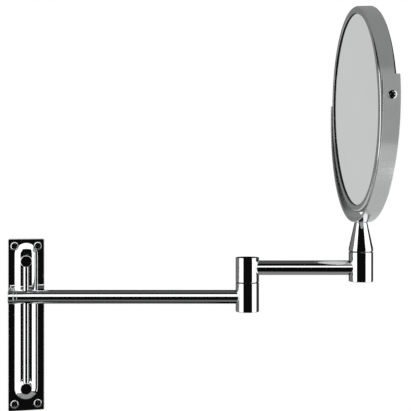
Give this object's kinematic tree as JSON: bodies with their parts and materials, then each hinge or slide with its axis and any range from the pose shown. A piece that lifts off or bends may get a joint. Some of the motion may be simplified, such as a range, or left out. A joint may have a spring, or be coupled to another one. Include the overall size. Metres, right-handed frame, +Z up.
{
  "type": "extendable shaving mirror",
  "caption": "Wall-mounted round shaving mirror, double-sided, in a half-ring yoke on folding swing arms that slide up and down a rod on a wall plate.",
  "frame": {"origin": "centre of the wall plate's back face, on the wall", "axes": "+Z up along the plate and its rod, +X to the right along the wall, -Y out of the wall towards the user"},
  "size_m": [0.3674, 0.2285, 0.402],
  "materials": {
    "chrome": "polished chrome plate",
    "satin_chrome": "chrome plate, slightly softer than the arms",
    "mirror_glass": "silvered glass",
    "steel": "bright zinc-plated screw steel",
    "nylon": "black nylon"
  },
  "bodies": {
    "wall_bracket": {"wall_plate": "chrome", "rail_base": "chrome", "upper_post": "chrome", "lower_post": "chrome", "slide_rod": "chrome", "upper_post_screw": "steel", "lower_post_screw": "steel", "wall_screw_1": "steel", "wall_screw_2": "steel", "wall_screw_3": "steel", "wall_screw_4": "steel"},
    "height_bush": {"rod_bush": "nylon"},
    "arm_1": {"arm1_tube": "chrome", "arm1_insert": "steel", "knob_collar": "chrome", "knuckle_lower": "chrome", "elbow_plug": "chrome", "elbow_spring_washer": "steel", "elbow_washer": "nylon"},
    "lock_knob": {"lock_knob": "chrome", "lock_stud": "steel"},
    "arm_2": {"elbow_bolt": "steel", "knuckle_upper": "chrome", "arm2_tube": "chrome", "post_lower": "chrome", "swivel_plug": "chrome", "swivel_spring_washer": "steel", "swivel_washer": "nylon"},
    "yoke_head": {"swivel_bolt": "steel", "post_cone": "chrome", "yoke": "satin_chrome", "yoke_screw": "steel"},
    "mirror": {"mirror_frame": "satin_chrome", "plain_glass": "mirror_glass", "magnifying_glass": "mirror_glass", "glass_spacer": "nylon", "pivot_screw_near": "steel", "pivot_screw_far": "steel", "pivot_spacer_near": "chrome", "pivot_spacer_far": "chrome"}
  },
  "joints": [
    {"name": "height_slide", "type": "slide", "parent": "wall_bracket", "child": "height_bush", "axis": [0, 0, 1], "range_m": [-0.0762, 0.0216]},
    {"name": "arm_swing", "type": "hinge", "parent": "height_bush", "child": "arm_1", "pos_m": [0, -0.0257, 0.031], "axis": [0, 0, 1], "range_deg": [-167, 13]},
    {"name": "knob_turn", "type": "hinge", "parent": "arm_1", "child": "lock_knob", "pos_m": [-0.01364, -0.02255, 0.031], "axis": [-0.9744, 0.225, 0], "range_deg": [0, 270]},
    {"name": "elbow", "type": "hinge", "parent": "arm_1", "child": "arm_2", "pos_m": [0.21241, -0.07474, 0.031], "axis": [0, 0, 1], "continuous": true},
    {"name": "mirror_swivel", "type": "hinge", "parent": "arm_2", "child": "yoke_head", "pos_m": [0.32154, -0.09993, 0.088], "axis": [0, 0, 1], "continuous": true},
    {"name": "mirror_tilt", "type": "hinge", "parent": "yoke_head", "child": "mirror", "pos_m": [0.32154, -0.09993, 0.2146], "axis": [0.1857, 0.9826, 0], "continuous": true}
  ]
}
